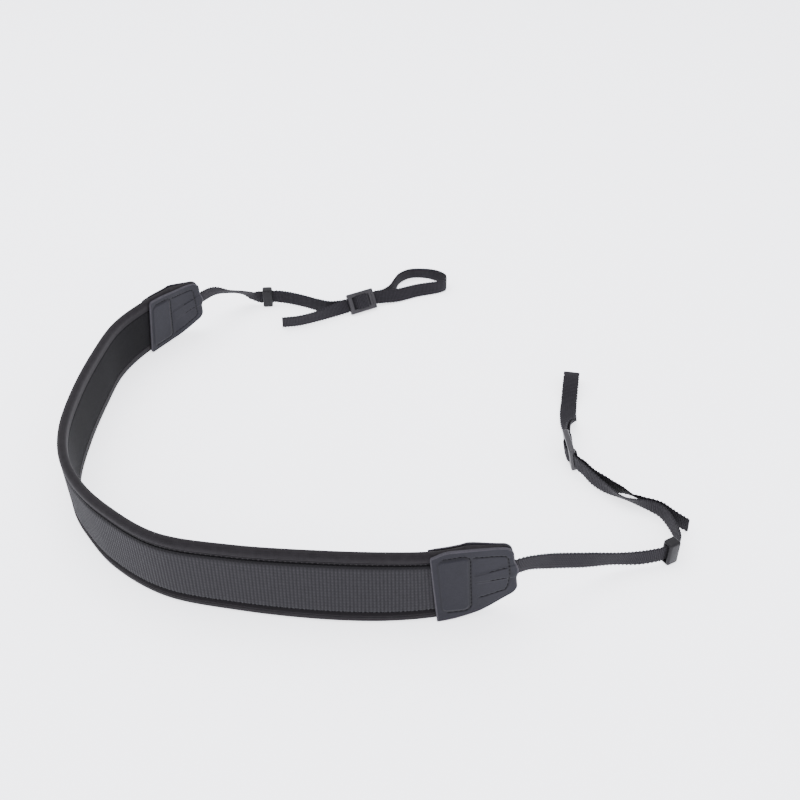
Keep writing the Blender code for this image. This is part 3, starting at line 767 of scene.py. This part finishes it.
def panelRise(x, fromEdge):
    # ribs across the panel, and an edge that turns under
    facts = panelSettings
    inside = ease(fromEdge / facts["edgeIn"])
    rib = 0.5 + 0.5 * np.cos(2 * math.pi * x / facts["ribPitch"])
    rise = facts["ribRise"] * (rib ** facts["ribFullness"] - 0.5) * inside
    return rise - facts["edgeDrop"] * (1 - inside)


def liningRise(x, fromEdge):
    # its edge turns under in a fine line, and it lies level with the border
    facts = liningSettings
    return facts["swell"] - facts["edgeDrop"] * (1 - ease(fromEdge / facts["edgeIn"]))


def makeFacing(name, node, slot, material, side, step, columnsIn, rise, smoothAngle):
    # a cloth facing on one side of the foam; rise lifts the face that shows
    facts = panelSettings
    piece = padStrip(name, step, facts["width"], columnsIn, 12, facts["thickness"])
    spots = readSpots(piece)
    lifted = spots[:, 2] + side * rise(spots[:, 0], facts["width"] / 2 - np.abs(spots[:, 1]))
    shown = spots[:, 2] * side > 0
    spots[:, 2] = np.where(shown, lifted, spots[:, 2]) + side * facts["middle"]
    layAlong(piece, spots, routes["pad"], smoothAngle, slot, node, materials=[material])


makePad()
sewPad()
makeFacing("outerRibbedPanel", "outer_panel", "ribbed_cloth", ribbedNylon, -1,
           panelSettings["ribPitch"] / panelSettings["samples"], panelSettings["columnsIn"],
           panelRise, 60)
makeFacing("innerLining", "inner_panel", "lining_cloth", liningKnit, 1,
           liningSettings["step"], liningSettings["columnsIn"], liningRise, 50)
print("pad ready")


# ---- the leather leaves; reach is measured from a leaf's tip, and height from its middle

# the right pair is curled in the photo, so its pattern and its shown leaf's outline are drawn as
# they look there: topLift raises the top edge at these reaches, and endShift cuts the pad's end
# back, on a slant
leafPatterns = {
    "right": {
        "length": 44.0, "corner": 0.8, "endShift": (1.05, 0.028),
        "topLift": ((4, 12, 20, 26, 32, 35, 38, 41, 44),
                    (0.0, 1.0, 2.2, 2.5, 2.6, 2.1, 1.2, 0.0, -1.0)),
        "pillow": [(39.6, 20.0), (22.8, 19.7), (26.7, -18.2), (39.8, -15.8)],
        "box": [(20.5, 18.2), (12.0, 15.2), (4.6, 12.0), (3.4, 10.0), (3.1, 6.0), (3.3, 0.0),
                (4.2, -6.0), (5.2, -10.0), (6.8, -12.6), (20.8, -11.3)],
        "webEdges": [[(21.5, 5.5), (14.0, 4.6), (4.6, 3.4)],
                     [(21.5, 0.3), (14.0, -1.8), (5.8, -4.0)]],
    },
    "left": {
        "length": 47.5, "corner": 3.0, "endShift": (0.0, 0.0), "topLift": ((0, 44), (0.0, 0.0)),
        "pillow": [(45.1, 17.75), (27.9, 17.75), (27.9, -17.75), (45.1, -17.75)],
        "box": [(25.3, 17.0), (15.9, 15.5), (6.5, 13.3), (5.2, 11.7), (5.0, 9.9),
                (5.0, -9.9), (5.2, -11.7), (6.5, -13.3), (15.9, -15.5), (25.3, -17.0)],
        "webEdges": [[(25.3, 4.1), (15.0, 4.1), (5.8, 4.1)],
                     [(25.3, -4.1), (15.0, -4.1), (5.8, -4.1)]],
    },
}


def alongPad(reach, atFarEnd):
    # the place along the pad's route of a reach from either tip, and back again
    return routes["pad"].length - reach if atFarEnd else reach


def leafWidth(reach):
    facts = leafSettings
    narrowing = np.clip(1 - reach / (facts["length"] - facts["corner"]), 0, None) ** 2
    width = facts["padWidth"] - (facts["padWidth"] - facts["webbingWidth"]) * narrowing
    short = np.clip(facts["corner"] - reach, 0, facts["corner"])
    return width - 2 * (facts["corner"] - np.sqrt(facts["corner"] ** 2 - short ** 2))


def leafMiddle(reach):
    # how far the middle of the leaf's wall stands out from the route
    facts = leafSettings
    overPad, overWeb = [under["thickness"] / 2 + facts["clearance"] + facts["thickness"] / 2
                        for under in (padSettings, webbingSettings)]
    padEnd = facts["length"] - facts["overlap"]
    opened = ease((reach - padEnd + facts["ramp"] + facts["clearance"]) / facts["ramp"])
    return overWeb + (overPad - overWeb) * opened


def pillowCorners(pattern):
    # the middles of the raised panel's round corners, and how each side faces
    corners = np.array(pattern["pillow"])
    onward = unit(np.roll(corners, -1, axis=0) - corners)
    back = unit(np.roll(corners, 1, axis=0) - corners)
    sine = np.abs(onward[:, 0] * back[:, 1] - onward[:, 1] * back[:, 0])
    middles = corners + leafSettings["pillowRound"] * (onward + back) / sine[:, None]
    return middles, np.column_stack([onward[:, 1], -onward[:, 0]])


def pillowDistance(reach, y, pattern):
    # distance inside (+) or outside (-) the raised panel
    middles, facing = pillowCorners(pattern)
    near = lineDistance(reach, y, np.vstack([middles, middles[:1]]))
    outside = np.max([(reach - x) * faceX + (y - height) * faceY
                      for (x, height), (faceX, faceY) in zip(middles, facing)], axis=0) > 0
    return leafSettings["pillowRound"] + np.where(outside, -near, near)


def pillowLine(pattern):
    # a line outside the raised panel, from the pad's end round the webbing's side and back
    middles, facing = pillowCorners(pattern)
    away = leafSettings["pillowRound"] + leafSettings["stitchAside"]
    line = [middles[0] + facing[0] * away]
    for corner in (1, 2):
        for turn in np.linspace(0, 1, 6):
            way = unit(facing[corner - 1] * (1 - turn) + facing[corner] * turn)
            line.append(middles[corner] + way * away)
    return line + [middles[3] + facing[2] * away]


def leafLines(pattern):
    # the sewn lines of a leaf; the webbing's edges are sewn only towards the tip
    return [pillowLine(pattern), pattern["box"]] + [line[1:] for line in pattern["webEdges"]]


def lineDistance(x, y, corners):
    corners = np.array(corners, dtype=float)
    best = np.full(len(x), 1e9)
    for (ax, ay), (bx, by) in zip(corners[:-1], corners[1:]):
        dx, dy = bx - ax, by - ay
        t = np.clip(((x - ax) * dx + (y - ay) * dy) / (dx * dx + dy * dy + 1e-12), 0, 1)
        best = np.minimum(best, np.hypot(x - ax - t * dx, y - ay - t * dy))
    return best


def leafGroove(reach, y, pattern):
    # 1 along the sewn lines, which the thread pulls in, and fainter along the webbing's edges
    sewn = np.min([lineDistance(reach, y, line) for line in leafLines(pattern)], axis=0)
    edges = np.min([lineDistance(reach, y, line) for line in pattern["webEdges"]], axis=0)
    half = leafSettings["grooveHalf"]
    return np.maximum(bump(sewn, half), leafSettings["faintGroove"] * bump(edges, half))


def leafSurface(reach, y, pattern):
    # how far the shown face stands out from the route
    facts = leafSettings
    face = leafMiddle(reach) + facts["thickness"] / 2
    face = face + facts["pillowRise"] * ease(pillowDistance(reach, y, pattern) / facts["pillowSlope"])
    high, low = [np.interp(reach, *np.array(line[::-1]).T) for line in pattern["webEdges"]]
    end = pattern["webEdges"][0][0][0] + facts["webEnd"]
    web = ease((np.minimum(high - y, y - low) + facts["webMargin"]) / facts["webSlope"])
    face = face + facts["webRise"] * web * ease((end - reach) / facts["webFade"])
    return face - facts["grooveDepth"] * leafGroove(reach, y, pattern)


def leafReaches(pattern):
    # close together in the round corners at both ends
    tipCorner, length, corner = leafSettings["corner"], pattern["length"], pattern["corner"]
    return np.concatenate([tipCorner * (1 - np.sin(np.radians(np.linspace(90, 4, 9)))),
                           np.arange(tipCorner + 0.3, length - corner, 0.36),
                           length - corner * (1 - np.sin(np.radians(np.linspace(0, 86, 7)))),
                           [length]])


def leafHalfWidth(reach, pattern, atBack):
    facts = leafSettings
    halfWidth = leafWidth(reach) / 2
    if atBack:
        drop = facts["backDrop"] * ease((reach - facts["backDropFrom"]) / facts["backDropOver"])
        halfWidth = np.minimum(halfWidth, facts["backHalf"] - drop)
    # the corners over the pad are cut round
    corner = pattern["corner"]
    short = np.clip(corner - (pattern["length"] - reach), 0, corner)
    return halfWidth - corner + np.sqrt(corner ** 2 - short ** 2)


def leafHug(reach, y):
    # how far the hidden leaf sinks to the rolled border
    facts, rim = leafSettings, padSettings["rim"]
    over = np.clip(np.abs(y) - (padSettings["width"] / 2 - rim), 0, rim)
    sink = facts["hug"] * ease((reach - facts["hugFrom"]) / facts["hugOver"])
    return sink * (rim - np.sqrt(rim ** 2 - over ** 2))


def makeLeaf(name, node, side, atFarEnd):
    facts = leafSettings
    pattern = leafPatterns["left" if atFarEnd else "right"]
    fractions = np.concatenate([[-1, -0.993], np.linspace(-0.975, 0.975, 105), [0.993, 1]])
    piece = flatStrip(name, np.sort(alongPad(leafReaches(pattern), atFarEnd)), fractions,
                      facts["thickness"])
    spots = readSpots(piece)
    reach, fraction = alongPad(spots[:, 0], atFarEnd), spots[:, 1]
    atBack = (side > 0) != atFarEnd
    halfWidth = leafHalfWidth(reach, pattern, atBack)
    y = fraction * halfWidth
    edge = np.minimum((1 - np.abs(fraction)) * halfWidth, pattern["length"] - reach)
    edge = np.minimum(edge, reach + 0.2)
    if not atBack:
        y = y + np.interp(reach, *pattern["topLift"]) * (fraction + 1) / 2
        cutBack, slant = pattern["endShift"]
        shift = ease((reach - facts["shiftFrom"]) / facts["shiftOver"])
        reach = reach - (cutBack - slant * y) * shift
    shown = spots[:, 2] * side > 0
    face = np.where(shown, leafSurface(reach, y, pattern), leafMiddle(reach) - facts["thickness"] / 2)
    if atBack:
        face = face - leafHug(reach, y)
    face = face - np.where(shown, 1, -1) * facts["edgeRoll"] * (1 - ease(edge / facts["edgeRollIn"]))
    # the tip bulges round the webbing
    tongue = facts["tongue"] * bump(y, facts["tongueHalf"]) * ease(1 - reach / facts["tongueReach"])
    flat = np.column_stack([alongPad(reach - tongue, atFarEnd), y, side * face])
    # painted shade in the sewn grooves and at the raised panel's foot, and the paler hide of its cut
    # edge
    foot = bump(pillowDistance(reach, y, pattern), facts["pillowShadeHalf"])
    paintedCreaseShade = np.maximum(leafGroove(reach, y, pattern), facts["pillowShade"] * foot)
    kept = piece.data.attributes.new("paintedCreaseShade", "FLOAT", "POINT")
    kept.data.foreach_set("value", np.where(shown, paintedCreaseShade, 0.0).astype(np.float32))
    for polygon in piece.data.polygons:
        if np.mean(edge[list(polygon.vertices)]) < facts["cutEdge"]:
            polygon.material_index = 1
    layAlong(piece, flat, routes["pad"], 40, "leather", node, materials=[leather, leatherEdge])

    def surface(x, y):
        return side * (leafSurface(alongPad(x, atFarEnd), y, pattern) + facts["threadLift"])
    lines = [[(alongPad(across, atFarEnd), up) for across, up in line] for line in leafLines(pattern)]
    sewRows(name + "Stitches", lines, surface, "leaf")


taperSettings = {
    "from": 3.0, "aside": 6.2,  # from this reach, and this far up from the webbing's middle
    "step": 1.0, "padGap": 0.1, "topGap": 0.1, "leafGap": 0.05,
    "roundFrom": 0.9, "roundOver": 0.11,   # its outer edge is round, in shares of its height
}


def makeTaper(name, way, atFarEnd):
    # the foam runs on between the leaves, above and below the webbing, and thins to the tip
    facts = taperSettings
    padEnd = leafSettings["length"] - leafSettings["overlap"]
    reaches = evenStations(facts["from"], padEnd - facts["padGap"], facts["step"])
    columns = np.concatenate([[0], np.linspace(0.1, 0.9, 8), [0.96, 0.99, 1]])
    piece = flatStrip(name, np.sort(alongPad(reaches, atFarEnd)), columns, 1.0)
    spots = readSpots(piece)
    reach = alongPad(spots[:, 0], atFarEnd)
    up = spots[:, 1] if way > 0 else 1 - spots[:, 1]
    top = leafWidth(reach) / 2 - facts["topGap"]
    rounded = np.clip((up - facts["roundFrom"]) / facts["roundOver"], 0, 1)
    thick = leafMiddle(reach) - leafSettings["thickness"] / 2 - facts["leafGap"]
    thick = thick * np.sqrt(1 - rounded ** 2)
    height = way * (facts["aside"] + (top - facts["aside"]) * up)
    flat = np.column_stack([spots[:, 0], height, np.sign(spots[:, 2]) * thick])
    layAlong(piece, flat, routes["pad"], 50, "foam", materials=[borderKnit])


ends = (("right", False), ("left", True))
for end, atFarEnd in ends:
    for face, side in (("Outer", -1), ("Inner", 1)):
        makeLeaf(end + face + "Leaf", f"{end}_{face.lower()}_leaf", side, atFarEnd)
for end, atFarEnd in ends:
    makeTaper(end + "UpperTaper", 1, atFarEnd)
    makeTaper(end + "LowerTaper", -1, atFarEnd)
print("leaves ready")


# ---- the webbing

def makeWebbingPiece(name, node, route):
    facts = webbingSettings
    half = facts["width"] / 2
    columns = np.array(facts["columns"])
    columns = half * np.concatenate([-columns[::-1], [0], columns])
    piece = flatStrip(name, evenStations(0, route.length, facts["step"]), columns, facts["thickness"])
    spots = readSpots(piece)
    fraction = np.abs(spots[:, 1]) / half
    rib = np.cos(2 * math.pi * spots[:, 0] / facts["ribPitch"])
    scallop = np.cos(2 * math.pi * spots[:, 0] / facts["scallopPitch"])
    # the selvedge is thinner and scalloped by the weft turning back
    selvedge = ease((fraction - facts["edgeFrom"]) / (1 - facts["edgeFrom"])) ** 2
    thick = facts["thickness"] / 2 * (1 - facts["edgeThin"] * selvedge)
    spots[:, 2] = np.sign(spots[:, 2]) * (thick - facts["ribRise"] + facts["ribRise"] * rib)
    outside = ease((fraction - facts["scallopFrom"]) / (1 - facts["scallopFrom"]))
    spots[:, 1] *= 1 + facts["scallop"] * (scallop - 1) / half * outside
    layAlong(piece, spots, route, 60, "webbing", node, materials=[webbingWeave])


for end in ("right", "left"):
    makeWebbingPiece(end + "WovenWebbing", end + "_webbing", routes[end])
print("webbing ready")


# ---- keepers and buckles

def addBlock(size, place):
    bpy.ops.mesh.primitive_cube_add(size=1, location=place)
    block = bpy.context.object
    block.scale = size
    bpy.ops.object.transform_apply(location=True, rotation=False, scale=True)
    return block


def cutAway(body, cutter):
    applyModifier(body, "BOOLEAN", {"operation": "DIFFERENCE", "solver": "EXACT", "object": cutter})
    bpy.data.objects.remove(cutter, do_unlink=True)


def roundEdges(body, radius, segments, angle=30):
    applyModifier(body, "BEVEL", {"width": radius, "segments": segments, "limit_method": "ANGLE",
                                  "angle_limit": math.radians(angle), "use_clamp_overlap": True})


def finishFitting(body, facts, name, node, seatName, plastic):
    # its inner edges are softened, and it goes to its seat
    roundEdges(body, facts["innerRound"], 2, 50)
    body.name = name
    x, y, heading, _, lean = seats[seatName]
    turn = (Matrix.Rotation(math.radians(heading), 4, "Z")
            @ Matrix.Rotation(-math.radians(lean), 4, "X"))
    place = Matrix.Translation((x, y, seatHeight(lean, facts["size"][2], facts["size"][1])))
    body.data.transform(Matrix.Scale(0.001, 4) @ place @ turn)
    finishPiece(body, 35, "plastic", node, materials=[plastic])


def makeKeeper(name, node, seatName):
    facts = keeperSettings
    slotDepth, slotHeight = facts["slot"]
    aside = -(slotDepth - webbingSettings["thickness"]) / 2 + leafSettings["clearance"]
    body = addBlock(facts["size"], (0, aside, 0))
    roundEdges(body, facts["round"], 4)
    cutAway(body, addBlock((facts["size"][0] * 2, slotDepth, slotHeight), (0, aside, 0)))
    finishFitting(body, facts, name, node, seatName, keeperPlastic)


def makeBuckle(name, node, seatName):
    facts = buckleSettings
    length, depth, height = facts["size"]
    crossing = seats[seatName][3]
    slot = facts["slotLength"]
    slotMiddle = (facts["centreBar"] + slot) / 2
    endBar = (length - facts["centreBar"]) / 2 - slot
    away = -crossing * (depth - facts["barRecess"])
    reach, start = facts["lipReach"], facts["lipStart"]
    body = addBlock((length, depth, height), (0, 0, 0))
    roundEdges(body, facts["round"], 4)
    # length and depth of each cut, and its place along and out from the middle
    for cutLength, cutDepth, along, out in (
            (slot, depth * 2, -slotMiddle, 0),
            (slot - reach, depth * 2, slotMiddle - reach / 2, 0),
            (slot - start, depth, slotMiddle + start / 2, crossing * facts["lipDepth"]),
            (length - 2 * endBar - slot, depth, 0, away),  # the middle bar is lower
            (endBar + slot, depth, -(length - endBar) / 2, -away),  # and so are the end bars
            (endBar + slot, depth, (length - endBar) / 2, -away),
            # a groove makes the loop side's end bar a pair of ridges
            (*facts["ridgeGroove"], length / 2 - endBar * facts["ridgePlace"], -crossing * depth / 2)):
        cutAway(body, addBlock((cutLength, cutDepth, facts["slotHeight"]), (along, out, 0)))
    finishFitting(body, facts, name, node, seatName, bucklePlastic)


for kind, makeFitting in (("Keeper", makeKeeper), ("Buckle", makeBuckle)):
    for end in ("right", "left"):
        makeFitting(end + "Moulded" + kind, f"{end}_{kind.lower()}", end + kind)
print("keepers and buckles ready")
